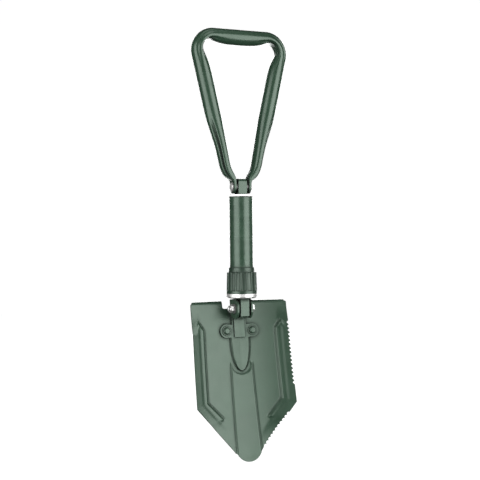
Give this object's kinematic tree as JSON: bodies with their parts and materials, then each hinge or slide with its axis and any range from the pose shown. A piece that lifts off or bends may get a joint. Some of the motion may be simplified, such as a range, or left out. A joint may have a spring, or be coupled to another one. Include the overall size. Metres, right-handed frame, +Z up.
{
  "type": "folding camp shovel",
  "caption": "Tri-fold camp shovel: dished steel blade with a toothed edge, tube shaft with screw lock collar and folding D-handle.",
  "frame": {"origin": "under the middle of the shaft, level with the tip of the blade (bottom centre of the box)", "axes": "+Z up the shaft from the blade tip to the handle, +X across the blade, -Y to the front, the hollow side of the blade"},
  "size_m": [0.1434, 0.054, 0.5813],
  "materials": {
    "coated_blade": "semi-gloss dark grey-green powder coat over pressed steel",
    "coated_tube": "semi-gloss dark grey-green powder coat over steel tube",
    "coated_collar": "dark green coated die-cast collar",
    "zinc_plate": "bright zinc plate",
    "dark_steel": "oiled forged steel",
    "white_ring": "smooth white end ring",
    "bush_plastic": "moulded guide bush"
  },
  "bodies": {
    "core": {"inner_shaft": "dark_steel", "lower_tongue": "coated_tube", "upper_tongue": "coated_tube", "tongue_pins": "dark_steel"},
    "tube": {"outer_tube": "coated_tube", "end_ring": "white_ring", "lower_guide_bush": "bush_plastic", "upper_guide_bush": "bush_plastic"},
    "lock_ring": {"thrust_ring": "zinc_plate"},
    "collar": {"lock_collar": "coated_collar", "thread_insert": "dark_steel"},
    "blade_unit": {"blade": "coated_blade", "hinge_bracket": "coated_blade", "bracket_rivets": "coated_blade", "rivet_washers": "coated_blade", "blade_pivot_bolt": "zinc_plate", "blade_pivot_nut": "zinc_plate", "blade_pivot_washers": "zinc_plate", "blade_spacers": "dark_steel"},
    "handle": {"d_handle": "coated_tube", "handle_rivet": "zinc_plate", "handle_washers": "zinc_plate", "handle_spacers": "dark_steel"}
  },
  "joints": [
    {"name": "blade_fold", "type": "hinge", "parent": "core", "child": "blade_unit", "pos_m": [0, 0, 0.203], "axis": [-1, 0, 0], "range_deg": [0, 150]},
    {"name": "handle_fold", "type": "hinge", "parent": "core", "child": "handle", "pos_m": [0, 0, 0.368], "axis": [-1, 0, 0], "range_deg": [0, 165]},
    {"name": "tube_slide", "type": "slide", "parent": "core", "child": "tube", "axis": [0, 0, -1], "range_m": [0, 0.0216]},
    {"name": "ring_travel", "type": "slide", "parent": "core", "child": "lock_ring", "axis": [0, 0, 1], "range_m": [0, 0.0031]},
    {"name": "collar_turn", "type": "hinge", "parent": "lock_ring", "child": "collar", "pos_m": [0, 0, 0.2238], "axis": [0, 0, 1], "range_deg": [0, 360]}
  ],
  "couplings": [
    {"joint": "tube_slide", "follows": "handle_fold", "m_per_rad": 0.00747},
    {"joint": "ring_travel", "follows": "collar_turn", "m_per_rad": 0.00047746}
  ]
}
